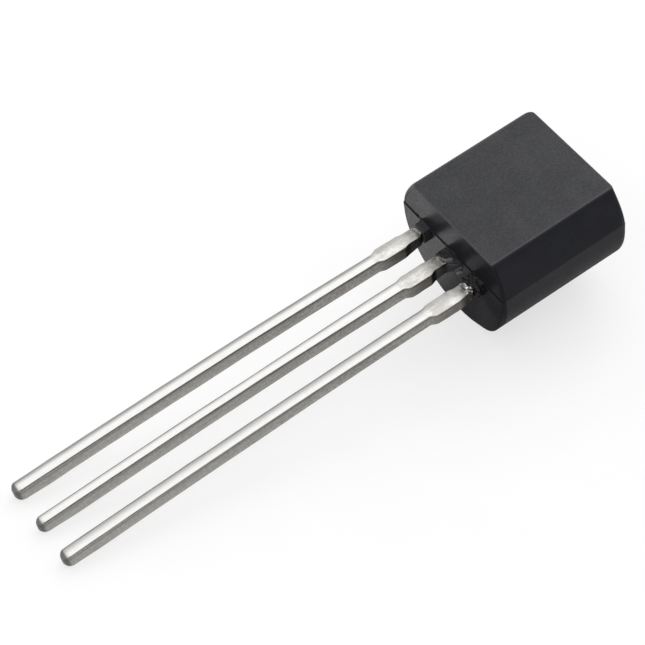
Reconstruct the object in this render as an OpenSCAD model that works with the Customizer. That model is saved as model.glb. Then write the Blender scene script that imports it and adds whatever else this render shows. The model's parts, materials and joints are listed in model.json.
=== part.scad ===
// Three-lead voltage regulator in a small half-round moulded package.
// It lies at rest with its flat face up, on the tips of its leads and on the lead end of
// its round back.  +X runs from the tips to the package, +Y across it, z = 0 is the table.

/* [Package] */
// Width of the moulding at its parting line
case_w = 4.8; // [4.4:0.02:5.2]
// Length of the moulding along the leads
case_l = 4.48; // [4.3:0.02:5.3]
// Width of the flat face
flat_w = 3.78; // [3.4:0.02:4]
// Height of the flat face above the parting plane
flat_h = 1.24; // [1.1:0.02:1.5]
// Straight wall below the parting plane, before the round back starts
back_wall = 0.42; // [0.1:0.02:0.7]
// Draft angle of both end faces above the parting plane
face_draft = 2; // [1:0.5:5]
// Draft angle of both end faces below the parting plane
back_draft = 0.5; // [0.5:0.5:4]
// Radius of the four upright corners of the moulding
corner_r = 0.14; // [0.06:0.02:0.3]

/* [Collars] */
// How far each plastic collar stands out of the end face
collar_l = 0.27; // [0.15:0.01:0.4]
// Width of a collar where it meets the end face
collar_root_w = 0.52; // [0.48:0.01:0.7]
// Width of a collar at its outer end
collar_tip_w = 0.46; // [0.44:0.01:0.48]
// Radius of the fillet between a collar's sides and the end face
collar_fillet = 0.12; // [0.05:0.01:0.15]
// Thickness of the plastic skin over and under the metal in a collar
collar_skin = 0.03; // [0.02:0.005:0.05]

/* [Leads] */
// Distance between neighbouring leads
pitch = 1.27; // [1.2:0.01:1.4]
// Length of a lead outside the moulding
lead_l = 14.3; // [12:0.05:16]
// Width of a lead
lead_w = 0.41; // [0.36:0.01:0.5]
// Thickness of the stamped sheet
lead_t = 0.45; // [0.36:0.01:0.5]
// Radius of a lead's long edges
edge_r = 0.07; // [0.03:0.01:0.12]
// Radius of the rounded tip
tip_r = 0.17; // [0.1:0.01:0.17]
// Width of the stub that is left where the tie bar was sheared off
stub_w = 0.54; // [0.5:0.01:0.7]
// Length of the stub between its two slopes
stub_l = 0.55; // [0.4:0.05:1.2]
// Length of each slope of the stub
stub_slope = 0.25; // [0.1:0.05:0.5]
// Distance from the end face to the stub's nearer slope
stub_x = 0.8; // [0.45:0.05:1.2]
// Width of the neck that enters the moulding
neck_w = 0.4; // [0.34:0.01:0.4]

/* [Inside] */
// Distance from the end face to the bond post of an outer lead
post_x = 0.55; // [0.4:0.05:0.7]
// Length of a bond post
post_l = 0.8; // [0.6:0.05:0.9]
// Width of a bond post
post_w = 0.74; // [0.6:0.02:0.9]
// Gap between the bond posts and the paddle
paddle_gap = 0.3; // [0.2:0.05:0.35]
// Length of the paddle that carries the die
paddle_l = 1.9; // [1.6:0.05:2]
// Width of the paddle
paddle_w = 2.5; // [2.3:0.05:2.8]
// Diameter of the half-round resin locks in the paddle's long edges
lock_d = 0.36; // [0.2:0.02:0.5]
// Side of the square die
die_side = 1.1; // [0.9:0.05:1.15]
// Distance from the paddle's front edge to the die
die_inset = 0.32; // [0.2:0.02:0.4]
// Thickness of the die
die_t = 0.25; // [0.15:0.01:0.3]
// Thickness of the bond line under the die
attach_t = 0.03; // [0.02:0.005:0.05]
// Distance from the die's edges to the centre of a bond pad
pad_edge = 0.2; // [0.12:0.02:0.3]
// Diameter of a bond wire
wire_d = 0.03; // [0.025:0.005:0.05]
// Length of the flat stitch at a wire's far end
stitch_l = 0.08; // [0.05:0.01:0.15]
// Distance from the edges of a post or the paddle to a stitch
stitch_edge = 0.3; // [0.2:0.02:0.35]
// Height of a wire loop above the die
loop_h = 0.35; // [0.25:0.01:0.45]

/* [Hidden] */
$fn = 96;

epoxy = [0.16, 0.16, 0.17];
tin = [0.82, 0.82, 0.8];

// Package frame: x = 0 is the end face, z = 0 the parting plane and the top of the leads.
back_r = case_w / 2;
depth = back_wall + back_r;
flat_set = flat_h * tan(face_draft);
back_set = depth * tan(back_draft);
// The side above the parting plane is one arc, from the widest line to the flat's edge.
side_z = (pow(flat_w / 2, 2) + pow(flat_h, 2) - pow(back_r, 2)) / (2 * flat_h);
side_r = norm([back_r, side_z]);

// Rest pose: a line that touches the round tips and the back's lower edge is the table.
tip_run = lead_l - tip_r + back_set;
tip_rise = depth - lead_t + tip_r;
lean = atan2(tip_rise, tip_run) - asin(tip_r / norm([tip_run, tip_rise]));
low_z = back_set * sin(lean) - depth * cos(lean);
min_x = tip_r * sin(lean) - (lead_l - tip_r) * cos(lean) - tip_r;
max_x = (case_l - back_set) * cos(lean) + depth * sin(lean);

// Inside places, each from the end face inwards.
post_end = post_x + post_l;
paddle_x = post_end + paddle_gap;
die_x = paddle_x + die_inset + die_side / 2;
die_top = attach_t + die_t;
pad_off = die_side / 2 - pad_edge;
stub_start = stub_x + stub_l + 2 * stub_slope;
// A gold ball is squashed to these multiples of the wire's diameter.
ball_r = wire_d * 1.4;
ball_h = wire_d * 0.8;
// Overlap of parts that are fused into one solid.
eps = 0.01;

module lay_flat_face_up() {
    translate([-(min_x + max_x) / 2, 0, -low_z]) rotate([0, -lean, 0]) children();
}

// Extrudes a (y, z) outline along +X, and an (x, z) outline to both sides of y = 0.
module along_x(from, to) {
    translate([from, 0, 0]) rotate([90, 0, 90]) linear_extrude(height = to - from) children();
}
module across_y(width) {
    rotate([90, 0, 0]) linear_extrude(height = width, center = true) children();
}

// Rectangle from [x0, y0] to [x1, y1] with true round corners.
module round_box(x0, y0, x1, y1, r) {
    translate([x0 + r, y0]) square([x1 - x0 - 2 * r, y1 - y0]);
    translate([x0, y0 + r]) square([x1 - x0, y1 - y0 - 2 * r]);
    for (x = [x0 + r, x1 - r], y = [y0 + r, y1 - r]) translate([x, y]) circle(r);
}

// Cross-section of the moulding: arc, straight wall and round back.
module case_section() {
    intersection() {
        translate([0, side_z]) circle(side_r);
        translate([-case_w, 0]) square([2 * case_w, flat_h]);
    }
    translate([-back_r, -back_wall]) square([case_w, back_wall]);
    intersection() {
        translate([0, -back_wall]) circle(back_r);
        translate([-case_w, -depth]) square([2 * case_w, back_r]);
    }
}

// Side view of the moulding: both end faces lean in from the parting plane.
module case_profile() {
    polygon([[0, 0], [flat_set, flat_h], [case_l - flat_set, flat_h],
             [case_l, 0], [case_l - back_set, -depth], [back_set, -depth]]);
}

module case_block() {
    intersection() {
        along_x(0, case_l) case_section();
        across_y(2 * case_w) case_profile();
        translate([0, 0, -depth - 1]) linear_extrude(height = depth + flat_h + 2)
            round_box(0, -case_w / 2, case_l, case_w / 2, corner_r);
    }
}

// Resin that filled the mould's lead slot: it widens towards the end face, and a fillet
// on each side runs into it.
module collar() {
    inside = back_set + corner_r;
    half_tip = collar_tip_w / 2;
    half_root = collar_root_w / 2;
    reach = half_root + collar_fillet;
    translate([0, 0, -lead_t - collar_skin]) linear_extrude(height = lead_t + 2 * collar_skin) {
        polygon([[-collar_l, -half_tip], [-collar_fillet, -half_root], [inside, -half_root],
                 [inside, half_root], [-collar_fillet, half_root], [-collar_l, half_tip]]);
        difference() {
            translate([-collar_fillet, -reach]) square([collar_fillet + inside, 2 * reach]);
            for (side = [-1, 1])
                translate([-collar_fillet, side * reach]) circle(collar_fillet);
        }
    }
}

// Round bar part of a lead, from its rounded tip to the start of the stub.
module shank() {
    intersection() {
        along_x(-lead_l, -stub_start + eps)
            round_box(-lead_w / 2, -lead_t, lead_w / 2, 0, edge_r);
        across_y(2 * lead_w) round_box(-lead_l, -lead_t, 0, 0, tip_r);
        translate([0, 0, -2 * lead_t]) linear_extrude(height = 3 * lead_t)
            round_box(-lead_l, -lead_w / 2, 0, lead_w / 2, tip_r);
    }
}

// Stamped part of a lead: stub with two slopes, then the neck as far as x = inner_x.
module stamping(inner_x) {
    half = [[-stub_start, lead_w / 2], [-stub_start + stub_slope, stub_w / 2],
            [-stub_x - stub_slope, stub_w / 2], [-stub_x, neck_w / 2],
            [inner_x, neck_w / 2]];
    mirrored = [for (i = [len(half) - 1 : -1 : 0]) [half[i][0], -half[i][1]]];
    translate([0, 0, -lead_t]) linear_extrude(height = lead_t)
        polygon(concat(half, mirrored));
}

// Outer lead; the bond post inside the moulding reaches towards the die.
module outer_lead(side) {
    translate([0, side * pitch, 0]) {
        shank();
        stamping(post_x + eps);
        translate([post_x, -post_w / 2, -lead_t]) cube([post_l, post_w, lead_t]);
    }
}

// Centre lead, stamped in one piece with the paddle under the die.
module paddle_lead() {
    shank();
    stamping(paddle_x + eps);
    difference() {
        translate([paddle_x, -paddle_w / 2, -lead_t]) cube([paddle_l, paddle_w, lead_t]);
        for (side = [-1, 1])
            translate([paddle_x + paddle_l / 2, side * paddle_w / 2, -lead_t - 1])
                cylinder(d = lock_d, h = lead_t + 2);
    }
}

module die_block() {
    translate([die_x - die_side / 2, -die_side / 2, attach_t]) cube([die_side, die_side, die_t]);
}
module attach_block() {
    translate([die_x - die_side / 2, -die_side / 2, 0]) cube([die_side, die_side, attach_t]);
}

// Bond wire from a ball at p on the die to a flat stitch at q on the metal.  The centre
// line is a cubic curve that leaves the die straight up, then runs on along the metal.
// Each ring of points is square to the line, turned so that a side lies on the metal.
function at_height(p, z) = [p[0], p[1], z];
function cubic(a, b, c, d, t) =
    pow(1 - t, 3) * a + 3 * t * pow(1 - t, 2) * b + 3 * t * t * (1 - t) * c + pow(t, 3) * d;

module bond_wire(p, q) {
    rings = 20;
    sides = 8;
    peak = die_top + loop_h * 4 / 3;
    lean_out = 0.6;
    rest_z = wire_d / 2 * cos(180 / sides);
    along = (q - p) / norm(q - p);
    run = at_height(along, 0);
    across = [-along[1], along[0], 0];
    centres = concat(
        [at_height(p, die_top), at_height(p, die_top + ball_h)],
        [for (k = [1 : rings])
            cubic(at_height(p, die_top), at_height(p, peak),
                  at_height(p + (q - p) * lean_out, peak), at_height(q, rest_z), k / rings)],
        [at_height(q + along * stitch_l, rest_z)]);
    last = len(centres) - 1;
    points = [for (k = [0 : last])
        let (step = centres[min(k + 1, last)] - centres[max(k - 1, 0)],
             dir = k < 2 ? [0, 0, 1] : k == last ? run : step / norm(step),
             up = cross(dir, across),
             r = k < 2 ? ball_r : wire_d / 2)
        for (s = [0 : sides - 1])
            let (turn = 360 * (s + 0.5) / sides)
            centres[k] + r * (cos(turn) * across + sin(turn) * up)];
    walls = [for (k = [0 : last - 1], s = [0 : sides - 1])
        let (a = k * sides + s, b = k * sides + (s + 1) % sides) [a, a + sides, b + sides, b]];
    polyhedron(points, concat([[for (s = [0 : sides - 1]) s]], walls,
                              [[for (s = [sides - 1 : -1 : 0]) last * sides + s]]));
}

module output_wire() {
    bond_wire([die_x - pad_off, pad_off], [post_end - stitch_edge, pitch]);
}
module input_wire() {
    bond_wire([die_x - pad_off, -pad_off], [post_end - stitch_edge, -pitch]);
}
module ground_wire() {
    bond_wire([die_x + pad_off, pad_off],
              [paddle_x + paddle_l - stitch_edge, paddle_w / 2 - stitch_edge]);
}

// Everything that the resin flowed round.
module inside_parts() {
    outer_lead(1);
    outer_lead(-1);
    paddle_lead();
    die_block();
    attach_block();
    output_wire();
    ground_wire();
    input_wire();
}

module case() {
    color(epoxy) lay_flat_face_up() difference() {
        union() {
            case_block();
            for (k = [-1 : 1]) translate([0, k * pitch, 0]) collar();
        }
        inside_parts();
    }
}
module lead_output() { color(tin) lay_flat_face_up() outer_lead(1); }
module lead_ground() { color(tin) lay_flat_face_up() paddle_lead(); }
module lead_input() { color(tin) lay_flat_face_up() outer_lead(-1); }
module die() { color([0.35, 0.37, 0.42]) lay_flat_face_up() die_block(); }
module die_attach() { color([0.7, 0.7, 0.72]) lay_flat_face_up() attach_block(); }
module wire_output() { color("gold") lay_flat_face_up() output_wire(); }
module wire_ground() { color("gold") lay_flat_face_up() ground_wire(); }
module wire_input() { color("gold") lay_flat_face_up() input_wire(); }

case();
lead_output();
lead_ground();
lead_input();
die();
die_attach();
wire_output();
wire_ground();
wire_input();
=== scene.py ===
# %% [markdown]
# # A voltage regulator, dressed
# The real part is a black epoxy moulding with three tin-plated leads. It lies flat face
# up, on the tips of its leads and on the edge of its round back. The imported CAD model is
# loaded as a fixed frame. Every surface below is worked out in millimetres, in the
# package's own directions, and then turned into the frame.

# %% Load the frame
import json
import math
import bpy
import numpy as np
from mathutils import Matrix, Vector


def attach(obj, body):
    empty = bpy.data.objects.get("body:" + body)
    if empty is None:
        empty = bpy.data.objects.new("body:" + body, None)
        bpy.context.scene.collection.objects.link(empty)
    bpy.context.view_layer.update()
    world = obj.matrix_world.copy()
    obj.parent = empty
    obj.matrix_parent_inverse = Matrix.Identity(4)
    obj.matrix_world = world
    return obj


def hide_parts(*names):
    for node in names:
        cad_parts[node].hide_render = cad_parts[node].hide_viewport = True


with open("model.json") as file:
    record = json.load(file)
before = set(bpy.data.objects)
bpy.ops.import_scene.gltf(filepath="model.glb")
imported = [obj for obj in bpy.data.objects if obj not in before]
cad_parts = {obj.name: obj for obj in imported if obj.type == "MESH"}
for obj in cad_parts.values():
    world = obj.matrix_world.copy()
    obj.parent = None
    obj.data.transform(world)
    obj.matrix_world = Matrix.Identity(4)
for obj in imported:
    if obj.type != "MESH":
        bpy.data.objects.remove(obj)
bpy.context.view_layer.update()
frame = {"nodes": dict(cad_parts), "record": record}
MM = 0.001
print("CAD nodes:", sorted(frame["nodes"]))

# %% [markdown]
# ## The package's own directions
# The leads slope up to the package, because its round back is deeper than they are. The
# record's flat_face mount gives the slope and the middle of the flat face. In package
# millimetres x = 0 is the end face that the leads leave, z = 0 is the parting plane and
# the top of the leads, and y = 0 is the middle lead.

# %% Package directions, from the record's mounts
mounts = {m["name"]: m for m in frame["record"]["mounts"]}
case_l, case_w = 4.48, 4.80
flat_w, flat_h, back_wall = 3.78, 1.24, 0.42
lead_l, lead_w, lead_t, pitch = 14.30, 0.41, 0.45, 1.27
up = np.array(mounts["flat_face"]["axis"])
along = np.array([up[2], 0.0, -up[0]])
across = np.array([0.0, 1.0, 0.0])
origin = np.array(mounts["flat_face"]["pos_m"]) - MM * (along * case_l / 2 + up * flat_h)
slope = math.atan2(along[2], along[0])


def to_frame(points):
    """Package millimetres to frame metres: the origin plus x along the leads, y across
    the package and z out of the flat face."""
    points = np.asarray(points, float)
    return origin + MM * (points[..., 0:1] * along + points[..., 1:2] * across
                          + points[..., 2:3] * up)


print("slope of the leads, degrees:", round(math.degrees(slope), 2))
print("tip of the middle lead, mm:", to_frame([-lead_l, 0, -lead_t / 2]) / MM)

# %% [markdown]
# ## Camera
# A long lens from above, on the side of the lead tips, rolled a little so that the leads
# run from the lower left to the upper right.

# %% Camera
def put(name, data):
    """A new object in the scene."""
    obj = bpy.data.objects.new(name, data)
    bpy.context.scene.collection.objects.link(obj)
    return obj


def stand(obj, place, way, turn=0.0):
    """Stands a camera or a lamp at the place, looking along the way and turned about it."""
    look = way.to_track_quat("-Z", "Y").to_matrix().to_4x4()
    obj.matrix_world = Matrix.Translation(place) @ look @ Matrix.Rotation(turn, 4, "Z")


aim = Vector((0.083, 0.058, 2.481)) * MM
azimuth, elevation, roll = math.radians(-36.665), math.radians(49.711), math.radians(2.435)
distance = 60.52 * MM
focal_mm, sensor_mm = 119.53, 36.0


def add_camera():
    """The camera stands at aim + distance times the direction with this azimuth and
    elevation, looks back along it, and turns about its own axis by the roll."""
    out = Vector((math.sin(azimuth) * math.cos(elevation),
                  -math.cos(azimuth) * math.cos(elevation), math.sin(elevation)))
    data = bpy.data.cameras.new("camera")
    data.lens, data.sensor_width = focal_mm, sensor_mm
    data.clip_start, data.clip_end = 1 * MM, 5.0
    camera = put("camera", data)
    stand(camera, aim + out * distance, -out, roll)
    bpy.context.scene.camera = camera
    return camera


camera = add_camera()
print("camera at, mm:", [round(c / MM, 2) for c in camera.location])

# %% [markdown]
# ## From arrays to a mesh
# Every new piece is one closed shell or a few of them. A helper takes the points in
# package millimetres and an index grid for each surface, and turns each small square of
# the grid into a face. A square whose corners fall together at a pole becomes a triangle.

# %% Mesh helpers
def grid_faces(index, closed=False):
    """Faces of a grid of vertex numbers: each square of neighbours is a face, in order
    (row, column), (row + 1, column), (row + 1, column + 1), (row, column + 1). A closed
    grid's last column meets its first."""
    if closed:
        index = np.concatenate([index, index[:, :1]], axis=1)
    a, b = index[:-1, :-1].ravel(), index[1:, :-1].ravel()
    c, d = index[1:, 1:].ravel(), index[:-1, 1:].ravel()
    return np.stack([a, b, c, d], axis=1)


def drop_repeats(quads):
    """Squares as lists of distinct corners: a pole's squares come out as triangles."""
    same = quads == np.roll(quads, 1, axis=1)
    full = quads[~same.any(axis=1)].tolist()
    part = quads[same.sum(axis=1) == 1]
    keep = ~(part == np.roll(part, 1, axis=1))
    return full + part[keep].reshape(-1, 3).tolist()


def build(name, points, quads, marks, body="root"):
    """An object at the origin from package points and squares. marks are named values,
    one for each point, which the materials read."""
    mesh = bpy.data.meshes.new(name)
    mesh.from_pydata(to_frame(points).tolist(), [], drop_repeats(quads))
    for mark, values in marks.items():
        layer = mesh.attributes.new(mark, "FLOAT", "POINT")
        layer.data.foreach_set("value", np.asarray(values, np.float32))
    mesh.shade_smooth()
    obj = put(name, mesh)
    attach(obj, body)
    print(name, len(mesh.vertices), "points,", len(mesh.polygons), "faces")
    return obj


def smooth_step(x, a, b):
    """0 before a, 1 after b, and 3 t^2 - 2 t^3 between them."""
    t = np.clip((x - a) / (b - a), 0.0, 1.0)
    return t * t * (3 - 2 * t)


def bump_at(x, middle, width):
    """1 at the middle, falling off as exp(-((x - middle) / width)^2)."""
    return np.exp(-((x - middle) / width) ** 2)


# %% [markdown]
# ## Uneven surfaces
# Broken resin and coined metal are uneven in a way that no ruler gives. A sum of sine
# waves with seeded directions is uneven enough, smooth, and the same on every run.

# %% Seeded unevenness
def ripples(points, size, seed, waves=24):
    """Sum of sine waves over the points, each with a random direction and phase and a
    wavelength from half to twice the size, scaled so that it mostly stays within 1."""
    rng = np.random.default_rng(seed)
    direction = rng.normal(size=(waves, 3))
    direction /= np.linalg.norm(direction, axis=1, keepdims=True)
    number = 2 * np.pi / (size * 2 ** rng.uniform(-1, 1, waves))
    phase = rng.uniform(0, 2 * np.pi, waves)
    angle = points @ (direction * number[:, None]).T + phase
    return np.sin(angle).sum(axis=-1) / math.sqrt(waves)


# %% [markdown]
# ## The case
# The case is cast in a steel mould with two halves, which meet at the leads' top plane.
# Seen from the end it is a flat face, two arcs that widen to the parting line, a short
# straight wall and a round back. Both ends lean in from the parting line, so that the
# part lets go of the mould. It could be an extrusion with a bevel, but a bevel can't lean
# the two halves of an end differently. So the outline is one closed row of points, swept
# over a rounded rim, and each end is a grid whose rows keep the outline's heights.

# %% Sizes of the case
back_r = case_w / 2
depth = back_wall + back_r
side_z = ((flat_w / 2) ** 2 + flat_h ** 2 - back_r ** 2) / (2 * flat_h)
side_r = math.hypot(back_r, side_z)
face_lean, back_lean = math.tan(math.radians(2.0)), math.tan(math.radians(0.5))
flat_fillet, rim = 0.07, 0.035
# Radii of the upright corners: at and below the parting line, and at the flat face on the
# near and the far side of the lead end and of the other end.
low_corner_r, flat_corner_r = 0.04, {1: (0.08, 0.15), -1: (0.12, 0.24)}
# The two halves of the mould don't quite meet: the upper one is this much narrower.
mould_slip = 0.006
# The nick in the parting line beside the far collar: its place and width.
nick_y, nick_w = 1.68, 0.05
# How proud the lower half stands at the lead end, and how much more at the near corner.
proud, corner_proud = 0.024, 0.10
# Rows close to the parting line, where the seam needs them.
seam_rows = np.array([0.004, 0.010, 0.017, 0.026, 0.038, 0.054])
print("side arc radius", round(side_r, 3), "its centre height", round(side_z, 3))


# %% Outline of the case
def arc(y, z, r, angles):
    """Points (y, z) of an arc, and its outward normals."""
    normals = np.stack([np.cos(angles), np.sin(angles)], 1)
    return [y, z] + r * normals, normals


def half_outline(rows_back, rows_side):
    """Right half of the outline from the bottom up, as points (y, z) and outward
    normals: a quarter circle of the back, the straight wall, the side's arc, and a small
    fillet into the flat face."""
    back = arc(0, -back_wall, back_r, np.linspace(-np.pi / 2, 0, rows_back))
    wall_z = np.concatenate([np.linspace(-back_wall, -seam_rows[-1], 8)[1:-1], -seam_rows[::-1]])
    wall = (np.stack([np.full_like(wall_z, back_r), wall_z], 1),
            np.tile([1.0, 0.0], (len(wall_z), 1)))
    # The fillet's centre lies a fillet inside both the flat face and the side's arc.
    centre_z = flat_h - flat_fillet
    centre_y = math.sqrt((side_r - flat_fillet) ** 2 - (centre_z - side_z) ** 2)
    end = math.atan2(centre_z - side_z, centre_y)
    first = np.arcsin((seam_rows - side_z) / side_r)
    side = arc(-mould_slip, side_z, side_r,
               np.concatenate([first, np.linspace(first[-1], end, rows_side)[1:]]))
    fillet = arc(centre_y - mould_slip, centre_z, flat_fillet, np.linspace(end, np.pi / 2, 9)[1:])
    return [np.concatenate(parts) for parts in zip(back, wall, side, fillet)]


half, half_n = half_outline(rows_back=64, rows_side=26)
print("outline rows:", len(half), "widest half width:", half[:, 0].max())

# %% [markdown]
# The whole outline runs up one side, over the flat face and down the other side. At the
# ends the rim is a small quarter circle along the outline's normals, and the four upright
# corners are rounded more, by drawing the outline in sideways.

# %% Case surface
top_columns, rim_rings, long_rings = 200, 18, 26


def whole_outline():
    """The closed outline: left side up, flat face from left to right, right side down.
    The bottom point appears once."""
    left, left_n = half * [-1, 1], half_n * [-1, 1]
    t = np.linspace(-1, 1, top_columns + 1)[1:-1]
    top = np.stack([t * half[-1, 0], np.full_like(t, half[-1, 1])], 1)
    top_n = np.tile([0.0, 1.0], (len(t), 1))
    return (np.concatenate([left, top, half[::-1][:-1]]),
            np.concatenate([left_n, top_n, half_n[::-1][:-1]]))


def end_lean(y, z, sign):
    """How far an end face stands back: the draft of each half, less, at the lead end, how
    proud the lower half stands. It is a little at the parting line and most at the near
    corner: a smooth step of y times one of z."""
    lean = np.where(z > 0, z * face_lean, -z * back_lean)
    corner = smooth_step(-y, 0.9, 2.1) * smooth_step(-z, 0.05, 0.9)
    return lean - (sign > 0) * (z < 0) * (proud + corner_proud * corner)


def quarter(r, d):
    """How far a rounding of radius r draws in at the distance d from the end:
    r - sqrt(r^2 - (r - d)^2)."""
    s = np.clip(d, 0, r)
    return r - np.sqrt(r * r - (r - s) ** 2)


def corner_r(y, z, sign):
    """Radius of the upright corner at the height z: a smooth step from the radius at the
    parting line to the one at the flat face."""
    near, far = flat_corner_r[sign]
    return low_corner_r + (np.where(y > 0, far, near) - low_corner_r) * smooth_step(z, 0.1, 1.1)


def seam_fade(y):
    """The parting line is half as deep and dark by the near corner: a smooth step of y."""
    return 1 - 0.5 * smooth_step(-y, 0.9, 2.0)


def seam(y, z):
    """Depth of the parting line in an end face: a fine V, which widens to a nick beside
    the far collar and fades towards the near corner, and the step between the halves."""
    nick = bump_at(y, nick_y, nick_w)
    line = 0.026 * seam_fade(y) + 0.014 * nick
    line *= bump_at(z, 0.004 + 0.010 * nick, 0.011 + 0.014 * nick)
    return line + mould_slip * smooth_step(z, -0.004, 0.004)


def seam_mark(y, z):
    """How dark the parting line is: a bump over z that is wider at the nick, times its
    fade."""
    return bump_at(z, 0.003, 0.013 + 0.02 * bump_at(y, nick_y, nick_w)) * seam_fade(y)


def case_surface():
    """Points, squares and seam marks of the closed case: rings at growing distances from
    each end, and a grid over each end face."""
    outline, normals = whole_outline()
    count, rows = len(outline), len(half)
    away = flat_corner_r[-1][1] * (1 - np.sin(np.linspace(np.pi / 2, 0, rim_rings)))

    def ring(end_x, sign, d):
        flat = outline - normals * quarter(rim, d)
        flat[:, 0] *= 1 - quarter(corner_r(outline[:, 0], outline[:, 1], sign), d) / back_r
        lean = end_lean(flat[:, 0], flat[:, 1], sign)
        return np.column_stack([end_x + sign * (lean + d), flat])

    first = [ring(0.0, 1, d) for d in away]
    last = [ring(case_l, -1, d) for d in away]
    between = np.linspace(0, 1, long_rings)[1:-1]
    rings = first + [first[-1] * (1 - t) + last[-1] * t for t in between]
    rings += last[::-1]
    points = [np.concatenate(rings)]
    index = np.arange(len(rings) * count).reshape(len(rings), count)
    squares = [grid_faces(index, closed=True)]
    marks, total = [np.zeros(len(rings) * count)], len(rings) * count
    for row, end_x, sign in ((0, 0.0, 1), (len(rings) - 1, case_l, -1)):
        edge, rim_points = index[row, :count], rings[row]
        # The end's grid: each row joins the left and right points of the same height.
        grid = np.zeros((rows, top_columns + 1), int)
        grid[:, 0] = edge[:rows]
        grid[:, -1] = np.concatenate([edge[:1], edge[::-1][:rows - 1]])
        grid[-1, :] = edge[rows - 1:rows + top_columns]
        grid[0, :] = edge[0]
        grid[1:-1, 1:-1] = total + np.arange((rows - 2) * (top_columns - 1)).reshape(rows - 2, -1)
        t = np.linspace(0, 1, top_columns + 1)[1:-1]
        left, right = (rim_points[grid[1:-1, k] - row * count] for k in (0, -1))
        y = left[:, 1:2] * (1 - t) + right[:, 1:2] * t
        z = left[:, 2:3] * (1 - t) + right[:, 2:3] * t
        x = end_x + sign * (end_lean(y, z, sign) + seam(y, z) * (sign > 0))
        points.append(np.stack([x, y, z], -1).reshape(-1, 3))
        line = seam_mark(y, z)
        marks.append((line if sign > 0 else 0.4 * line).ravel())
        squares.append(grid_faces(grid)[:, ::-1] if sign > 0 else grid_faces(grid))
        total += (rows - 2) * (top_columns - 1)
    return np.concatenate(points), np.concatenate(squares), np.concatenate(marks)


case_points, case_squares, case_seam = case_surface()
print("case from", case_points.min(0).round(3), "to", case_points.max(0).round(3))

# %% [markdown]
# ## Bars
# The collars and the leads are bars with a rounded rectangle for a section, whose sizes
# change along them. One function makes them all: the section's points are a fixed pattern
# of corner signs and arc directions, stretched at each station by that station's sizes.
# Each end closes in a pole.

# %% Bars with a rounded section
def section_pattern(arc_steps, side_steps):
    """One turn round a rounded rectangle. Each row holds the corner signs (y, z), which
    multiply half size minus radius, and the arc direction, which multiplies the radius."""
    rows = []
    for quarter_turn in range(4):
        a = (quarter_turn + np.linspace(0, 1, arc_steps + 1)) * np.pi / 2
        middle = (quarter_turn + 0.5) * np.pi / 2
        sign = np.sign([math.cos(middle), math.sin(middle)])
        rows.append(np.column_stack([np.tile(sign, (len(a), 1)), np.cos(a), np.sin(a)]))
        next_sign = np.array([-sign[1], sign[0]])
        t = np.linspace(0, 1, side_steps + 1)[1:-1, None]
        straight = sign * (1 - t) + next_sign * t
        rows.append(np.column_stack([straight, np.tile([np.cos(a[-1]), np.sin(a[-1])], (len(t), 1))]))
    return np.concatenate(rows)


def bar(x, near, far, low, high, near_r, far_r, arc_steps, side_steps):
    """Points (stations, loop, 3) of a bar along x and the section's outward direction at
    each point. near and far are the distances of its two side faces from y = 0, on the
    -y and the +y side, and near_r and far_r are the radii of their edges. A section is
    centre + signs (half size - radius) + direction radius."""
    pattern = section_pattern(arc_steps, side_steps)
    x, near, far, low, high, near_r, far_r = [v[:, None] for v in np.broadcast_arrays(
        x, near, far, low, high, near_r, far_r)]
    half_y, half_z = (near + far) / 2, (high - low) / 2
    r = near_r + (far_r - near_r) * (pattern[:, 0] + 1) / 2
    r = np.minimum(r, np.minimum(half_y, half_z) * 0.999)
    y = (far - near) / 2 + pattern[:, 0] * (half_y - r) + pattern[:, 2] * r
    z = (high + low) / 2 + pattern[:, 1] * (half_z - r) + pattern[:, 3] * r
    points = np.stack([np.broadcast_to(x, y.shape), y, z], axis=-1)
    return points, pattern[:, 2:4]


def close_bar(loops):
    """Points and squares of the closed bar: the loops, and a pole in the middle of each
    end loop."""
    stations, count = loops.shape[:2]
    points = np.concatenate([loops.reshape(-1, 3), [loops[0].mean(0), loops[-1].mean(0)]])
    index = np.arange(stations * count).reshape(stations, count)
    start, end = np.full((1, count), stations * count), np.full((1, count), stations * count + 1)
    return points, grid_faces(np.concatenate([start, index, end]), closed=True)


def outward(points, squares):
    """The squares, turned over if the shell's signed volume, a sixth of the sum of the
    corner triple products of its triangles, is negative."""
    a, b, c, d = (points[squares[:, k]] for k in range(4))
    six_volumes = (np.einsum("ij,ij->i", a, np.cross(b, c))
                   + np.einsum("ij,ij->i", a, np.cross(c, d))).sum()
    return squares if six_volumes > 0 else squares[:, ::-1]


def join(shells):
    """One set of points and squares from several shells."""
    points, squares, count = [], [], 0
    for p, s in shells:
        points.append(p)
        squares.append(outward(p, s) + count)
        count += len(p)
    return np.concatenate(points), np.concatenate(squares)


print("points round a lead's section:", len(section_pattern(8, 10)))

# %% [markdown]
# ## The collars
# Resin filled the slots in which the mould held the leads, and left a short block at each
# lead's root. The far block is clean. The middle one is longer and is chipped on its near
# corner, where two curved lips of resin are left. The near one was scraped by the tool
# that cut the tie bar, and is rough all over.

# %% Collar shapes
collar_skin, collar_round = 0.03, 0.04
root_inside = 0.10
# Reach from the end face, widths to the near and the far side, root fillet, wear.
collar_sizes = {1: (0.26, 0.205, 0.225, 0.14, 0.002),
                0: (0.45, 0.230, 0.250, 0.09, 0.006),
                -1: (0.42, 0.240, 0.330, 0.05, 0.016)}
# How much wider each one's near side is at the end face, and how far below the lead it goes.
near_slope = {1: 0.0, 0: 0.24, -1: 0.0}
below_lead = {1: 0.075, 0: collar_skin, -1: collar_skin}
near_slope_l = 0.38
# How matt each collar is, and how broken.
collar_matt, collar_broken = {1: 1.0, 0: 0.3, -1: 0.1}, {1: 0.15, 0: 0.6, -1: 1.0}


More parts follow.
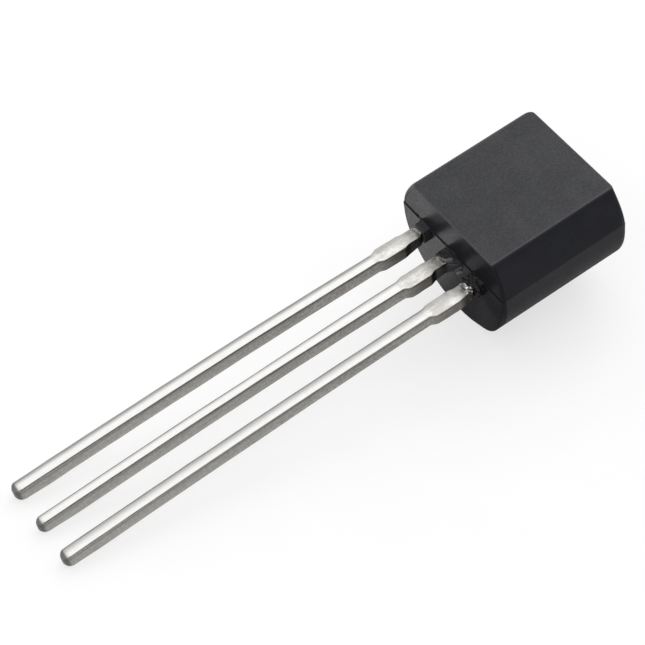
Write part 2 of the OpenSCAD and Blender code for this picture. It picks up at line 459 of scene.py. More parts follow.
def stroke(points, start, end, width):
    """1 on the straight stroke from start to end, falling off beside it and past its ends
    as exp(-(distance / width)^2)."""
    start, end = np.array(start), np.array(end)
    run = end - start
    t = np.clip((points - start) @ run / (run @ run), 0, 1)
    distance = np.linalg.norm(points - start - t[..., None] * run, axis=-1)
    return np.exp(-(distance / width) ** 2)


# Lips on the middle collar: (x, y) strokes on its top, and (x, z) strokes on its near side.
top_lips = (((-0.44, 0.08), (-0.34, -0.16)), ((-0.30, -0.17), (-0.16, -0.21)))
side_lips = (((-0.30, -0.03), (-0.08, -0.09)), ((-0.03, -0.28), (-0.17, -0.40)))


def chipped(loops):
    """The middle collar's chip: beyond the lips the top drops, and the lips stand out.
    Returns the points and how much of each is lip."""
    top = smooth_step(loops[..., 2], -0.12, 0.0)
    side = smooth_step(-loops[..., 1], 0.17, 0.21)
    top_lip = top * sum(stroke(loops[..., :2], *ends, 0.034) for ends in top_lips)
    side_lip = side * sum(stroke(loops[..., ::2], *ends, 0.030) for ends in side_lips)
    past = (0.10 - loops[..., 1]) - 1.05 * (loops[..., 0] + 0.45)
    shifted = loops.copy()
    drop = 0.016 * smooth_step(past, 0.02, 0.12) + 0.070 * smooth_step(-loops[..., 1], 0.15, 0.23)
    shifted[..., 2] += 0.035 * top_lip - top * drop
    shifted[..., 1] -= 0.020 * side_lip
    return shifted, np.clip(top_lip + side_lip, 0, 1)


def collar(side):
    """A bar that runs into the end face with a quarter-circle fillet on its far side, and
    with a straight slope on its near side where it has one. Ripples as strong as its wear
    move its points, and die away inside the case."""
    reach, near, far, fillet, wear = collar_sizes[side]
    front = collar_round * (1 - np.cos(np.linspace(0, np.pi / 2, 6)))[:-1]
    x = np.concatenate([-reach + front, np.linspace(-reach + collar_round, root_inside, 48)])
    rounding = quarter(collar_round, x + reach)
    flare = quarter(fillet, -x)
    slope_out = near_slope[side] * np.clip((x + near_slope_l) / near_slope_l, 0, 1)
    loops, _ = bar(x, near - rounding + slope_out, far - rounding + flare,
                   -lead_t - below_lead[side] + rounding,
                   collar_skin * 0.6 - rounding * 0.5, 0.03, 0.03, 5, 22)
    lip = np.zeros(loops.shape[:2])
    if side < 0:
        # This collar is broken off shorter on its near side than on its far side.
        short = 0.15 * smooth_step(-loops[..., 1], -0.15, 0.20)
        loops[..., 0] += short * (1 - smooth_step(loops[..., 0], -0.42, 0.0))
    if side == 0:
        loops, lip = chipped(loops)
    fade = 1 - smooth_step(loops[..., :1], -0.02, 0.05)
    rough, fine = (np.stack([ripples(loops, size, 10 * side + seed + k) for k in range(3)], -1)
                   for size, seed in ((0.15, 40), (0.06, 60)))
    loops = loops + wear * fade * (rough + 0.35 * fine)
    loops[..., 1] += side * pitch
    return close_bar(loops), np.append(lip.ravel(), [0, 0])


# %% Case with its collars
collars = {side: collar(side) for side in collar_sizes}
case_all, case_faces = join([(case_points, case_squares)] + [shell for shell, _ in collars.values()])
# Pale scuffs on the end face beside the middle collar, as (y, z) strokes.
scuffs = (((-0.15, -0.92), (-0.25, -0.78)), ((-0.28, -0.72), (-0.40, -0.58)))
scuffed = sum(stroke(case_points[:, 1:], *ends, 0.036) for ends in scuffs) * (case_points[:, 0] < 0.1)


def block_and_collars(on_block, on_collars):
    """One value for each point: an array for the block, then each collar's own value."""
    return np.concatenate([on_block] + [np.full(len(shell[0]), on_collars[side])
                                        for side, (shell, _) in collars.items()])


bare = np.zeros(len(case_points))
on_block = block_and_collars(bare + 1, {1: 0, 0: 0, -1: 0}) > 0
case_x, case_y, case_z = case_all.T
from_end = np.minimum(case_x, case_l - case_x)
end_zone = on_block & (from_end < 0.12) & (case_z < flat_h - 0.012)
# A pale line is painted along the flat face's rim as a highlight.
painted_rim_highlight = np.maximum(bump_at(from_end, 0.050, 0.030),
                      bump_at(np.abs(case_y), flat_w / 2 - 0.025, 0.035))
arc_side = smooth_step(np.abs(case_y), flat_w / 2 - 0.015, flat_w / 2 + 0.035)
# The lead end's shine grows away from its lower near corner, and the other end's is even.
polish = np.where(case_x > case_l / 2, 0.6, smooth_step(case_y + 0.5 * case_z, -1.35, 0.5))
case_marks = {
    "end_face": np.where(end_zone | ~on_block, 1.0, 0.0),
    "lower_half": np.where(case_z < 0, 1.0, 0.0),
    "polish": polish,
    "upper_side": on_block * (case_z > 0) * arc_side,
    # The rim mark says where that painted highlight lies.
    "rim": painted_rim_highlight * on_block * (case_z > flat_h - 0.07),
    # Real pale scuffs on the end face, and the middle collar's lips painted pale as highlights.
    "scuff_and_lip_highlight": np.clip(np.concatenate([scuffed] + [lip for _, lip in collars.values()]), 0, 1),
    "seam": block_and_collars(case_seam, {1: 0.0, 0: 0.0, -1: 0.0}),
    "matt": block_and_collars(bare, collar_matt),
    "broken": block_and_collars(bare, collar_broken)}
case = build("case_moulding", case_all, case_faces, case_marks)
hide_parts("case")

# %% [markdown]
# ## The leads
# The three leads were stamped from one sheet and dipped in tin, which rounded their long
# edges and left the top a little crowned. Near the package each one is wider, where a tie
# bar joined it to its neighbours until it was sheared off; the shears left more on the
# near side than on the far one. Inside, the outer leads end in bond posts and the middle
# one in the paddle under the die, with a half-round lock for the resin in each long edge.
# A bar whose two side faces are sums of smooth steps along x gives all of that at once.

# %% Lead sizes
post_x, post_l, post_w, paddle_gap, paddle_l, paddle_w = 0.55, 0.80, 0.74, 0.30, 1.90, 2.50
lock_d = 0.36
paddle_x = post_x + post_l + paddle_gap
tip_r, tip_edge_r, near_edge_r, far_edge_r, sharp_r = 0.17, 0.13, 0.045, 0.12, 0.030
crown, coin = 0.010, 0.012
stub_from, stub_to, stub_slope = -1.90, -0.74, 0.26
# How much narrower the lead is where the resin holds it, and how much of that its top sinks.
held, sunk_share = 0.035, {1: 0.2, 0: 0.2, -1: 1.0}
# How much each shank is trimmed on its near and far side, and how much deeper the tin makes
# it by the stub and beyond it. Each changes between two distances from the package.
trim = {1: (0.026, -0.030), 0: (0.042, 0.028), -1: (0.012, 0.000)}
deeper = {1: (0.075, 0.115), 0: (0.055, 0.115), -1: (0.000, 0.090)}
trim_from, trim_to = 2.0, 7.0
deep_from, deep_to = 2.5, 8.0
# How far the sheared stub and the neck behind it stand out of the shank, on the near and
# the far side.
stub_out = {1: ((0.075, 0.030), (0.045, 0.000)), 0: ((0.095, 0.020), (0.025, 0.000)),
            -1: ((0.095, 0.080), (0.030, 0.000))}
# How much the shears tore off the near side of each neck on the way to the package, and how
# rough that left the metal.
torn_off, torn_share = {1: 0.0, 0: 0.0, -1: 0.08}, {1: 0.25, 0: 0.25, -1: 1.0}
# Sideways places of a lead at its tip, near the stub and at the end face, as multiples of
# the pitch: the three leads spread a little towards their tips, drift and bow to one side.
spread = {"x": [-lead_l, -1.0, 0.0], "share": [1.038, 0.985, 1.0]}
drift, bow = -0.10, 0.062
# How far each lead's tip curls up, over what length, and how much of that it goes aside.
lift, lift_l, lift_aside = {1: 0.085, 0: 0.070, -1: 0.060}, 7.0, 0.65


def lead_stations(inner_start, inner_end):
    """Places along x, closer together at the tip, the stub and the steps inside."""
    tip = -lead_l + tip_r * (1 - np.cos(np.linspace(0, np.pi / 2, 16)))
    shank = np.linspace(-lead_l + tip_r, -2.1, 150)[1:]
    stub = np.linspace(-2.1, -0.2, 150)[1:]
    neck = np.linspace(-0.2, inner_start - 0.01, 10)[1:]
    inner = np.linspace(inner_start, inner_end, 60)
    return np.concatenate([tip, shank, stub, neck, inner])


def stub_zone(x, first, last):
    """1 along the stub: a smooth step up between two distances from its outer end, and one
    down where the neck goes into the collar."""
    return smooth_step(x, stub_from + first, stub_from + last) * (1 - smooth_step(x, -0.25, -0.15))


print("the paddle starts", paddle_x, "mm inside the package")

# %% A lead's section at each place
def side_place(x, out, inner_start, inner_w):
    """Distance of a side face from the lead's middle: half the width, plus a smooth step
    out to the sheared stub and one back to the neck, less a step where the resin holds
    it, plus the post or paddle inside."""
    stub, neck = out
    swell = (stub * smooth_step(x, stub_from, stub_from + stub_slope)
             + (neck - stub) * smooth_step(x, stub_to - stub_slope, stub_to)
             - (neck + held) * smooth_step(x, -0.40, -0.27))
    return lead_w / 2 + swell + (inner_w / 2 + held - lead_w / 2) * (x >= inner_start)


def tin_depth(x, side):
    """How much deeper than the bare sheet the lead is: straight from one depth to the other
    along the shank, nothing in the neck, and at the tip just what the curl lifts it by."""
    deep = np.interp(-x, [deep_from, deep_to], deeper[side]) * (1 - smooth_step(x, -0.75, -0.45))
    return lift[side] + (deep - lift[side]) * smooth_step(x, -lead_l + 0.2, -lead_l + 1.2)


def lead_bar(x, side, inner_start, inner_l, inner_w, lock):
    """The straight bar, its section's directions, and where each point lies across the
    lead, from -1 at the near side to 1 at the far one. The side faces are drawn in by the
    quarter circle of the tip, by the trimming, by the lock's half circle and by the tear."""
    inset = quarter(tip_r, x + lead_l)
    notch = np.sqrt(np.maximum((lock / 2) ** 2 - (x - inner_start - inner_l / 2) ** 2, 0))
    slim = smooth_step(-x, trim_from, trim_to)
    near, far = (side_place(x, out, inner_start, inner_w) - cut * slim - inset - notch
                 for out, cut in zip(stub_out[side], trim[side]))
    near -= torn_off[side] * smooth_step(x, -0.92, -0.30) * (x < 0)
    low = inset - lead_t - tin_depth(x, side)
    dome = np.maximum(inset, tip_edge_r * (1 - smooth_step(x, -lead_l + 0.08, -lead_l + 0.32)))
    near_r, far_r = (np.where(x < 0, np.maximum(r + (sharp_r - r) * stub_zone(x, 0, 0.2), dome), 0.01)
                     for r in (near_edge_r, far_edge_r))
    loops, direction = bar(x, near, far, low, -inset, near_r, far_r, 8, 10)
    width = np.maximum((near + far) / 2, 1e-3)[:, None]
    share = np.clip((loops[..., 1] - ((far - near) / 2)[:, None]) / width, -1, 1)
    return loops, direction, share


print("depth by the tips, mm:", [round(lead_t + lift[side], 3) for side in lift])

# %% A lead's wear and bend
def wear_lead(x, loops, direction, share, top, outside, side, seed):
    """Crowns and coins the lead's top, sinks it where the resin holds it, and moves the
    points along their directions by ripples: soft waves of tin along the shank, dents on
    the stub and torn metal at the root."""
    stub = stub_zone(x, 0, 0.2)[:, None]
    loops[..., 2] -= top * outside * (crown * share ** 2 + coin * stub)
    sunk = sunk_share[side] * held * smooth_step(loops[..., 0], -0.32, -0.24)
    loops[..., 2] -= top * sunk * (loops[..., 0] < 0.1)
    waves = 0.0025 * ripples(loops * [0.30, 1, 1], 0.5, seed)
    dents = 0.0050 * ripples(loops * [0.6, 1, 1], 0.30, seed + 5) * stub
    torn = 0.016 * ripples(loops, 0.10, seed + 9) * smooth_step(loops[..., 0], -0.65, -0.38)
    torn = torn * torn_share[side] * (0.3 + 0.7 * top)
    keep = outside * smooth_step(loops[..., 0], -lead_l, -lead_l + 0.3)
    move = (waves + dents + torn) * keep
    loops[..., 1] += direction[:, 0] * move
    loops[..., 2] += direction[:, 1] * move


def bend_lead(x, loops, side):
    """Moves the lead to its place: the spread share of the pitch, a straight drift, a bow
    of 4 u (1 - u), and the curl of its outer half, a smooth step."""
    raised = lift[side] * (1 - smooth_step(x, -lead_l, -lead_l + lift_l))
    u = np.clip(-x / lead_l, 0, 1)
    middle = side * pitch * np.interp(x, spread["x"], spread["share"])
    loops[..., 1] += (middle + drift * u + bow * 4 * u * (1 - u) - lift_aside * raised)[:, None]
    # Going straight up would push the tip past the frame's box, as the package slopes in it.
    loops[..., 0] += math.tan(slope) * raised[:, None]
    loops[..., 2] += raised[:, None]


# %% A lead's marks
# Across the top, as shares of the half width, where the painted shade towards the far
# edge starts and where it is darkest.
far_shade_from = {1: (-0.25, 0.66), 0: (-0.15, 0.95), -1: (-0.60, 0.95)}
# Along each lead, where resin starts to stain the tin and where it is dullest.
dull_from = {1: (-0.80, -0.35), 0: (-1.15, -0.60), -1: (-0.95, -0.55)}


def lead_marks(x, loops, direction, share, top, outside, side, shade):
    """What the tin reads: sheared side faces, the painted shade on the top's far edge, the
    coined stub, the cut tip, dull and torn root, the painted dark line under the top's edge,
    the paler low and outer metal, and the shade painted on the side faces by the package."""
    low = smooth_step(-loops[..., 2], 0.25, 0.50)
    pressed = stub_zone(x, -0.12, 0.06)
    # A narrow band across the near lead's stub was hardly pressed.
    pressed *= 1 - 0.7 * (side < 0) * bump_at(x, -1.03, 0.09)
    torn = smooth_step(x, -0.65, -0.45) * torn_share[side]
    values = {"sheared": smooth_step(np.abs(direction[:, 0]), 0.45, 0.9),
              # Painted shade: the top is painted greyer towards its far edge.
              "far_edge_shade": smooth_step(share, *far_shade_from[side]) * top,
              "coined": pressed[:, None],
              "tip": (1 - smooth_step(x, -lead_l + 0.10, -lead_l + 0.20))[:, None],
              "dull": smooth_step(x, *dull_from[side])[:, None],
              "torn": torn[:, None] * top,
              # Painted shade: a dark line just under the top's edge.
              "painted_dark_line": bump_at(loops[..., 2], -0.06, 0.05) * outside,
              "pale": 0.4 * low * outside + 0.6 * smooth_step(-x, 3.0, 13.0)[:, None],
              # Painted shade on the side faces near the package, as deep as the lead's shade.
              "painted_shade": shade * smooth_step(x, -2.2, -1.2)[:, None]}
    # The two poles at the ends of the bar have no mark.
    return {name: np.append(np.broadcast_to(v, loops.shape[:2]).ravel(), [0, 0])
            for name, v in values.items()}


# %% The three leads
def lead(name, side, inner_start, inner_l, inner_w, lock, shade, seed):
    """A lead and the post or paddle that it becomes inside: a bar, worn, bent and marked."""
    x = lead_stations(inner_start, inner_start + inner_l)
    loops, direction, share = lead_bar(x, side, inner_start, inner_l, inner_w, lock)
    outside = 1 - smooth_step(loops[..., 0], -0.20, -0.10)
    top = smooth_step(loops[..., 2], -lead_t * 0.4, -0.02)
    wear_lead(x, loops, direction, share, top, outside, side, seed)
    bend_lead(x, loops, side)
    points, squares = close_bar(loops)
    marks = lead_marks(x, loops, direction, share, top, outside, side, shade)
    obj = build(name, points, outward(points, squares), marks)
    return obj


# The seventh number is how deep each lead's painted shade by the package is.
leads = {"lead_output": lead("output_lead", 1, post_x, post_l, post_w, 0, 1.0, 3),
         "lead_ground": lead("ground_lead", 0, paddle_x, paddle_l, paddle_w, lock_d, 0.97, 4),
         "lead_input": lead("input_lead", -1, post_x, post_l, post_w, 0, 0.68, 8)}
for node, obj in leads.items():
    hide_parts(node)

# %% [markdown]
# ## Reading places and marks in a shader
# A material reads Object coordinates. A Mapping node scales them by 1000, turns them by
# the slope of the leads and moves them to the package's zero, so a size in a shader is a
# size on the part in millimetres. The marks that were stored on the points say where the
# mould, the shears or the tin left a different surface.

# %% Shader helpers
def plug(tree, value, socket):
    """A constant on a socket, or a link from another node's output."""
    if isinstance(value, bpy.types.NodeSocket):
        tree.links.new(value, socket)
    else:
        socket.default_value = value


def add(tree, kind, settings=None, **inputs):
    """A node with its settings. Each input is a constant or another node's output, named
    by its socket with _ for a space, or by the socket's number after an n."""
    made = tree.nodes.new(kind)
    for key, value in (settings or {}).items():
        setattr(made, key, value)
    for key, value in inputs.items():
        numbered = key[0] == "n" and key[1:].isdigit()
        plug(tree, value, made.inputs[int(key[1:]) if numbered else key.replace("_", " ")])
    return made


def calc(tree, operation, a, b=0.0):
    """One sum, product, power, largest or smallest of two values."""
    return add(tree, "ShaderNodeMath", {"operation": operation}, n0=a, n1=b).outputs[0]


def times(tree, a, b):
    """The product of two values."""
    return calc(tree, "MULTIPLY", a, b)


def step(tree, value, low, high, at_low=0.0, at_high=1.0):
    """A smooth change from at_low to at_high as the value goes from low to high."""
    return add(tree, "ShaderNodeMapRange", {"interpolation_type": "SMOOTHSTEP"}, Value=value,
               From_Min=low, From_Max=high, To_Min=at_low, To_Max=at_high).outputs[0]


def blend(tree, share, a, b):
    """Value a where the share is 0, and value b where it is 1."""
    return add(tree, "ShaderNodeMix", {"data_type": "FLOAT"}, n0=share, n2=a, n3=b).outputs[0]


def tint(tree, share, a, b):
    """Colour a where the share is 0, and colour b where it is 1. A colour that isn't
    another node's output is three numbers."""
    ends = [c if isinstance(c, bpy.types.NodeSocket) else (*c, 1) for c in (a, b)]
    return add(tree, "ShaderNodeMix", {"data_type": "RGBA"}, n0=share, n6=ends[0],
               n7=ends[1]).outputs[2]


def layers(tree, mix, below, *coats):
    """Each coat, a share and a value or colour, mixed by blend or tint over what is below."""
    for share, coat in coats:
        below = mix(tree, share, below, coat)
    return below


def read_marks(tree, *names):
    """Stored marks of the piece, one output for each name."""
    return [add(tree, "ShaderNodeAttribute", {"attribute_name": n}).outputs["Fac"] for n in names]


zero_turned = np.array([along, across, up]) @ origin / MM


def package_mm(tree):
    """Object coordinates as package millimetres."""
    place = add(tree, "ShaderNodeTexCoord").outputs["Object"]
    return add(tree, "ShaderNodeMapping", Vector=place, Scale=(1 / MM,) * 3,
               Rotation=(0, slope, 0), Location=tuple(-zero_turned)).outputs[0]


def new_material(name):
    """An empty material with its Principled shader."""
    made = bpy.data.materials.new(name)
    made.use_nodes = True
    return made, made.node_tree, made.node_tree.nodes["Principled BSDF"]


def set_shader(tree, shader, **inputs):
    """Constants and links on the shader's own sockets."""
    for key, value in inputs.items():
        plug(tree, value, shader.inputs[key.replace("_", " ")])


check = Matrix.Rotation(slope, 3, "Y") @ Vector(to_frame([1.0, 2.0, 3.0])) / MM
print("turned back, less the zero:", [round(c, 3) for c in check - Vector(zero_turned)])

# %% [markdown]
# ## Effects that several materials share
# Grain, blotches, streaks and scratches appear on resin, tin, silicon and gold alike, in
# other sizes. Each is a node group with named inputs, built once.

# %% Shared effects
drawn_out, levels = ("Length", "Width"), ("Low", "High")


def make_effect(name, labels, **noise):
    """A group that gives noise over the position. The position is turned, if the group has
    a turn. It is divided by a size, or else by a length in x and a width in y and z. If the
    group has two levels, the noise is cut off smoothly between them."""
    group = bpy.data.node_groups.new(name, "ShaderNodeTree")
    for label in ("Position", *labels):
        kind = "NodeSocketVector" if label in ("Position", "Turn") else "NodeSocketFloat"
        group.interface.new_socket(label, in_out="INPUT", socket_type=kind)
    group.interface.new_socket("Value", in_out="OUTPUT", socket_type="NodeSocketFloat")
    given = group.nodes.new("NodeGroupInput").outputs
    place = given["Position"]
    if "Turn" in labels:
        place = add(group, "ShaderNodeVectorRotate", {"rotation_type": "EULER_XYZ"},
                    Vector=place, Rotation=given["Turn"]).outputs[0]
    length, width = ("Size", "Size") if "Size" in labels else drawn_out
    lengths = add(group, "ShaderNodeCombineXYZ", X=given[length], Y=given[width],
                  Z=given[width]).outputs[0]
    place = add(group, "ShaderNodeVectorMath", {"operation": "DIVIDE"}, n0=place,
                n1=lengths).outputs[0]
    value = add(group, "ShaderNodeTexNoise", Vector=place, Scale=1.0, **noise).outputs["Fac"]
    if "Low" in labels:
        value = step(group, value, given["Low"], given["High"])
    group.links.new(value, group.nodes.new("NodeGroupOutput").inputs["Value"])
    return group


# Fine grain, soft blotches, streaks along the leads, and short thin scratches, for which
# only the highest noise is kept.
effects = {
    "grain": make_effect("fine_grain", ("Size",), Detail=4.0, Roughness=0.6),
    "blotches": make_effect("blotches", ("Size", *levels), Detail=3.0, Roughness=0.55),
    "streaks": make_effect("drawn_streaks", drawn_out + levels, Detail=3.0, Roughness=0.6,
                           Distortion=0.3),
    "scratches": make_effect("scratches", ("Turn", *drawn_out, *levels), Detail=1.0,
                             Roughness=0.4)}


def effect(tree, name, place, **values):
    """A shared effect placed in a material with its own values."""
    made = add(tree, "ShaderNodeGroup", {"node_tree": effects[name]}, Position=place, **values)
    return made.outputs[0]


def bumped(tree, height, depth_mm, normal=None):
    """A normal tilted by a height map whose full range is this many millimetres deep."""
    below = {} if normal is None else {"Normal": normal}
    return add(tree, "ShaderNodeBump", Height=height, Strength=1.0, Distance=depth_mm * MM,
               **below).outputs[0]


print("shared effects:", sorted(group.name for group in effects.values()))

# %% [markdown]
# ## Black epoxy
# The resin is full of fine glass, with a little carbon for the colour, so it is a very
# dark grey with a dull shine. Its shine is that of the mould's steel: most on the flat
# face, little on the side arcs and the back, and changing over the lead end. A shader's
# specular level can't be drawn on the surface in the export, but the weight of a coat
# can, so the level is 0 and the coat does all of the shine. The broken collars show the
# grey filler. One material reads the marks and does all of that.

# %% Epoxy
def make_epoxy():
    """Each tone is laid over the ones before it by its mark."""
    made, tree, shader = new_material("black_epoxy")
    place = package_mm(tree)
    end_face, polish, lower, side, rim_highlight, seam_line, scuff_and_lip_highlight, matt, broken = read_marks(
        tree, "end_face", "polish", "lower_half", "upper_side", "rim", "seam", "scuff_and_lip_highlight", "matt",
        "broken")
    grain = effect(tree, "grain", place, Size=0.045)
    clouds = effect(tree, "blotches", place, Size=0.9, Low=0.30, High=0.70)
    filler = effect(tree, "blotches", place, Size=0.05, Low=0.45, High=0.62)
    scratches = effect(tree, "scratches", place, Turn=(0.5, 0.9, 0.4), Length=0.5, Width=0.014,
                       Low=0.67, High=0.73)
    color = layers(
        tree, tint, (0.0225, 0.0232, 0.0285),
        (clouds, (0.0262, 0.0268, 0.0325)), (lower, (0.0360, 0.0360, 0.0410)),
        (end_face, (0.0128, 0.0130, 0.0170)), (times(tree, grain, 0.25), (0.034, 0.034, 0.036)),
        (times(tree, broken, filler), (0.034, 0.032, 0.029)), (matt, (0.050, 0.050, 0.054)),
        # The pale line along the rim is a painted highlight.
        (rim_highlight, (0.052, 0.0525, 0.058)), (times(tree, seam_line, 0.85), (0.004, 0.004, 0.005)),
        # The scuffs are real marks; the pale on the lips is a painted highlight.
        (times(tree, scuff_and_lip_highlight, 0.8), (0.26, 0.26, 0.27)))
    skin = layers(tree, blend, 0.78, (lower, 0.20), (side, 0.12),
                  (end_face, blend(tree, polish, 0.12, 0.63)), (broken, 0.32), (matt, 0.26))
    for mask, *span in ((grain, 0.3, 0.7, 0.72, 1.28), (clouds, 0, 1, 0.95, 1.05),
                        (scratches, 0, 1, 1.0, 0.75)):
        skin = times(tree, skin, step(tree, mask, *span))
    skin = blend(tree, seam_line, skin, 0.02)
    depth = layers(tree, blend, 0.0016, (end_face, 0.0005), (broken, 0.004))
    set_shader(tree, shader, Base_Color=color, Normal=bumped(tree, times(tree, grain, depth), 1.0),
               Specular_IOR_Level=0.0, Coat_Weight=skin, Coat_Roughness=0.30)
    return made


epoxy = make_epoxy()
print(epoxy.name, "has", len(epoxy.node_tree.nodes), "nodes")

# %% [markdown]
# ## Tin plate
# The leads are copper under hot-dipped tin. The tin is bright on the faces that the sheet
# had, and thin and streaked on the faces that the stamping tool sheared, which are also
# painted darker as shade. By the package it is pressed satin by the shears, and dull where
# resin bled onto it. The far lead's root is the cleanest, and the near lead's is torn.

# %% Tin on the sheared faces and on the stub
def sheared_tones_and_shade(tree, streaks, fine, grain, pale, painted_dark_line, painted_shade):
    """Thin streaky tin: fine bright lines, brown grain where the copper shows through, a base
    partly darkened as painted shade, and painted shade under the top's edge and by the package."""
    return layers(
        tree, tint, (0.19, 0.182, 0.168), (streaks, (0.34, 0.330, 0.312)),
        (times(tree, fine, 0.5), (0.44, 0.43, 0.41)),
        (step(tree, grain, 0.38, 0.62, 0.0, 0.60), (0.15, 0.138, 0.118)),
        (times(tree, pale, 0.40), (0.56, 0.55, 0.53)),
        (times(tree, painted_dark_line, 0.50), (0.09, 0.085, 0.078)), (painted_shade, (0.060, 0.052, 0.043)))


def satin_tones(tree, smear, mottle, far_edge_shade, grain):
    """Tin pressed by the shears: smeared along the lead, and painted greyer towards the far edge as
    shade.
    """
    return layers(
        tree, tint, (0.60, 0.580, 0.550), (smear, (0.92, 0.900, 0.870)),
        (times(tree, mottle, 0.4), (0.62, 0.602, 0.572)),
        (times(tree, far_edge_shade, 0.80), (0.40, 0.388, 0.365)),
        (step(tree, grain, 0.38, 0.62, 0.0, 0.25), (0.34, 0.325, 0.295)))


# %% Tin
def make_tin():
    """Bright metal, with each worn zone and each painted shade or glint laid over it by its mark."""
    made, tree, shader = new_material("tin_plate")
    place = package_mm(tree)
    sheared, far_edge_shade, coined, tip, dull, torn, pale, painted_dark_line, painted_shade = read_marks(
        tree, "sheared", "far_edge_shade", "coined", "tip", "dull", "torn", "pale", "painted_dark_line", "painted_shade")
    streaks = effect(tree, "streaks", place, Length=2.5, Width=0.030, Low=0.35, High=0.65)
    fine = effect(tree, "streaks", place, Length=0.9, Width=0.012, Low=0.30, High=0.70)
    mottle = effect(tree, "blotches", place, Size=0.20, Low=0.36, High=0.64)
    smear = effect(tree, "streaks", place, Length=0.60, Width=0.17, Low=0.34, High=0.66)
    glints = effect(tree, "blotches", place, Size=0.055, Low=0.56, High=0.62)
    grain = effect(tree, "grain", place, Size=0.075)
    scratch = effect(tree, "scratches", place, Turn=(0.0, 0.0, 0.25), Length=1.2, Width=0.018,
                     Low=0.70, High=0.76)
    # The painted shade towards the far edge is broken up by the fine streaks.
    far_edge_shade = times(tree, far_edge_shade, step(tree, fine, 0, 1, 0.80, 1.0))
    # Painted glints: bright specks on the torn metal at the roots.
    painted_glint = times(tree, torn, glints)
    # Resin stain for the dull root, with painted shade on its side faces.
    stain_and_shade = layers(tree, tint, (0.11, 0.107, 0.090), (mottle, (0.34, 0.333, 0.300)),
                     (times(tree, painted_shade, sheared), (0.055, 0.051, 0.043)))
    cut = tint(tree, step(tree, pale, 0.6, 1.0), (0.10, 0.097, 0.092), (0.27, 0.262, 0.25))
    # The sheared faces' tones are partly thin streaky tin and partly painted shade.
    color = layers(
        tree, tint, (0.87, 0.865, 0.85), (mottle, (0.84, 0.835, 0.82)), (far_edge_shade, (0.21, 0.208, 0.198)),
        (sheared, sheared_tones_and_shade(tree, streaks, fine, grain, pale, painted_dark_line, painted_shade)),
        (times(tree, coined, blend(tree, sheared, 0.90, 0.05)),
         satin_tones(tree, smear, mottle, far_edge_shade, grain)),
        (times(tree, dull, 0.85), stain_and_shade), (painted_glint, (0.97, 0.965, 0.95)),
        (times(tree, tip, 0.92), cut), (times(tree, scratch, 0.25), (0.5, 0.5, 0.49)))
    rough = layers(tree, blend, 0.24, (sheared, 0.34), (coined, 0.36), (dull, 0.42), (painted_glint, 0.15))
    rough = calc(tree, "ADD", rough, step(tree, fine, 0, 1, -0.03, 0.05))
    normal = bumped(tree, grain, 0.0012, bumped(tree, streaks, 0.0012))
    set_shader(tree, shader, Base_Color=color, Roughness=rough, Metallic=1.0, Normal=normal)
    return made


tin = make_tin()
print(tin.name, "has", len(tin.node_tree.nodes), "nodes")

# %% [markdown]
# ## Inside the moulding
# Nobody sees these until the moulding is taken away. The die is polished silicon under a
# clear coat, with faint angular patches for its circuit. It is glued down with silver-filled
# resin, and joined up by drawn gold wires.

# %% Silicon, glue and gold
def make_silicon():
    """Angular cells of slightly different greys, under a clear coat."""
    made, tree, shader = new_material("silicon")
    place = package_mm(tree)
    cells = add(tree, "ShaderNodeTexVoronoi", {"distance": "CHEBYCHEV", "feature": "F1"},
                Vector=place, Scale=9.0, Randomness=0.7)
    grain = effect(tree, "grain", place, Size=0.02)
    color = layers(tree, tint, (0.20, 0.22, 0.27), (cells.outputs["Color"], (0.34, 0.33, 0.40)),
                   (times(tree, grain, 0.3), (0.42, 0.40, 0.36)))
    set_shader(tree, shader, Base_Color=color, Metallic=0.75,
               Roughness=step(tree, grain, 0.2, 0.8, 0.12, 0.22), Coat_Weight=0.5)
    return made


def make_glue():
    """Flakes of silver in dull resin."""
    made, tree, shader = new_material("silver_glue")
    place = package_mm(tree)
    flakes = effect(tree, "blotches", place, Size=0.03, Low=0.40, High=0.60)
    grain = effect(tree, "grain", place, Size=0.012)
    set_shader(tree, shader, Metallic=step(tree, flakes, 0, 1, 0.5, 1.0),
               Base_Color=tint(tree, flakes, (0.42, 0.42, 0.43), (0.75, 0.75, 0.76)),
               Roughness=step(tree, grain, 0.2, 0.8, 0.35, 0.6), Normal=bumped(tree, grain, 0.002))
    return made


def make_gold():
    """Gold with the fine lines that drawing leaves along a wire."""
    made, tree, shader = new_material("bond_gold")
    place = package_mm(tree)
    drawn = effect(tree, "streaks", place, Length=0.4, Width=0.006, Low=0.35, High=0.65)
    color = tint(tree, drawn, (0.93, 0.69, 0.28), (1.0, 0.80, 0.42))
    set_shader(tree, shader, Base_Color=color, Metallic=1.0,
               Roughness=step(tree, drawn, 0, 1, 0.16, 0.28))
    return made


silicon, glue, gold = make_silicon(), make_glue(), make_gold()
print("inside:", [made.name for made in (silicon, glue, gold)])

# %% [markdown]
# ## Putting the finishes on
# The dressed pieces have no material yet, and the pieces that are carried over have the
# plain one that the model gave them, so each finish takes the place of whatever is there.

# %% Paint
def paint(obj, finish):
    """The finish takes the place of every material on the object."""
    obj.data.materials.clear()
    obj.data.materials.append(finish)


paint(case, epoxy)
for obj in leads.values():
    paint(obj, tin)
for node, finish in (("die", silicon), ("die_attach", glue), ("wire_output", gold),
                     ("wire_ground", gold), ("wire_input", gold)):
    paint(frame["nodes"][node], finish)
print("painted:", sorted(m.name for m in bpy.data.materials if m.users))

# %% [markdown]
# ## Studio
# Bright metal shows its surroundings more than itself, so the sky is the main light: an
# even white, with one dark side above the horizon on the near side, which gives each lead
# its bright top and its darker side. The floor is grey paper to the light, so that it
# takes the part's shadow. To the camera, and to rays that a surface mirrors or lets
# through, it also glows by as much as the grey lacks to white. One weak soft lamp from
# behind deepens the shadow a little.

# %% Floor
paper_grey, paper_glow = (0.335, 0.345), 0.67


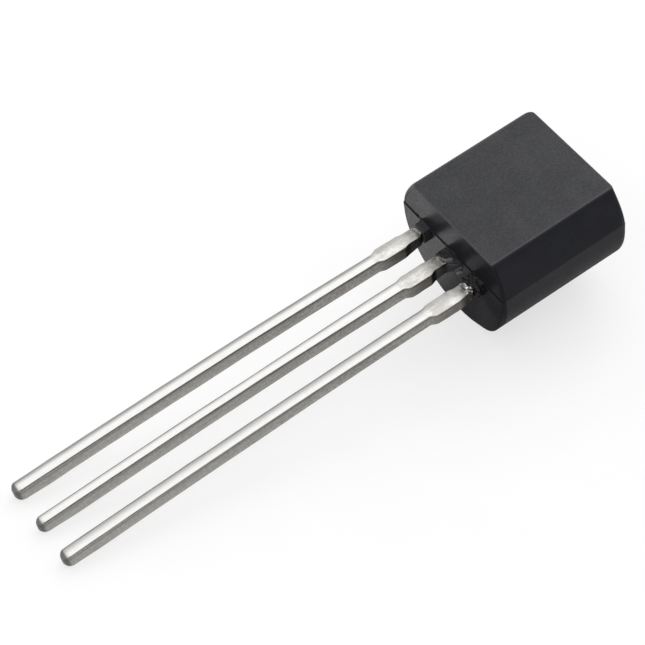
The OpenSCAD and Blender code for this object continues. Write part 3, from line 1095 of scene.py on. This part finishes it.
def add_floor(half_side=0.6):
    """A square of paper under the part."""
    corners = np.array([(-1, -1, 0), (1, -1, 0), (1, 1, 0), (-1, 1, 0)]) * half_side
    mesh = bpy.data.meshes.new("floor")
    mesh.from_pydata(corners.tolist(), [], [(0, 1, 2, 3)])
    floor = put("floor", mesh)
    made, tree, shader = new_material("white_paper")
    fibre = add(tree, "ShaderNodeTexNoise", Vector=add(tree, "ShaderNodeTexCoord").outputs["Object"],
                Scale=400.0, Detail=2.0)
    shade = step(tree, fibre.outputs["Fac"], 0.3, 0.7, 0.0, 1.0)
    ray = add(tree, "ShaderNodeLightPath").outputs
    seen = calc(tree, "MAXIMUM", ray["Is Camera Ray"],
                calc(tree, "MAXIMUM", ray["Is Glossy Ray"], ray["Is Transmission Ray"]))
    grey = tint(tree, shade, *((level,) * 3 for level in paper_grey))
    set_shader(tree, shader, Base_Color=grey, Roughness=0.95, Specular_IOR_Level=0.0,
               Emission_Color=(1, 1, 1, 1), Emission_Strength=times(tree, seen, paper_glow))
    paint(floor, made)
    return floor


floor = add_floor()
print("floor:", floor.dimensions.x, "m across")

# %% Sky and lamp
sky_high, sky_low = 1.10, 0.05
dark_side = Vector((0.15, -0.95, 0.20)).normalized()
lamp_place, lamp_size, lamp_watts = (0.16, 0.10, 0.20), 0.14, 0.08


def add_sky():
    """The sky is even, and goes smoothly to dark as the direction comes nearer to the
    dark side: a step of their dot product, times one of the height, which keeps the
    horizon white behind the part from every side."""
    world = bpy.data.worlds.new("studio_sky")
    world.use_nodes = True
    tree = world.node_tree
    look = add(tree, "ShaderNodeTexCoord").outputs["Generated"]
    toward = add(tree, "ShaderNodeVectorMath", {"operation": "DOT_PRODUCT"}, n0=look,
                 n1=tuple(dark_side)).outputs["Value"]
    height = add(tree, "ShaderNodeSeparateXYZ", Vector=look).outputs["Z"]
    dark = times(tree, step(tree, toward, 0.45, 0.92), step(tree, height, 0.10, 0.22))
    set_shader(tree, tree.nodes["Background"], Color=(1, 1, 1, 1),
               Strength=blend(tree, dark, sky_high, sky_low))
    bpy.context.scene.world = world
    return world


def add_lamp(name, place, size, power, target=(0, 0, 0.002)):
    """A round area lamp that looks at the target."""
    data = bpy.data.lights.new(name, "AREA")
    data.shape, data.size, data.energy = "DISK", size, power
    lamp = put(name, data)
    stand(lamp, place, Vector(target) - Vector(place))
    return lamp


add_sky()
add_lamp("soft_key", lamp_place, lamp_size, lamp_watts)
bpy.context.scene.view_settings.view_transform = "Standard"
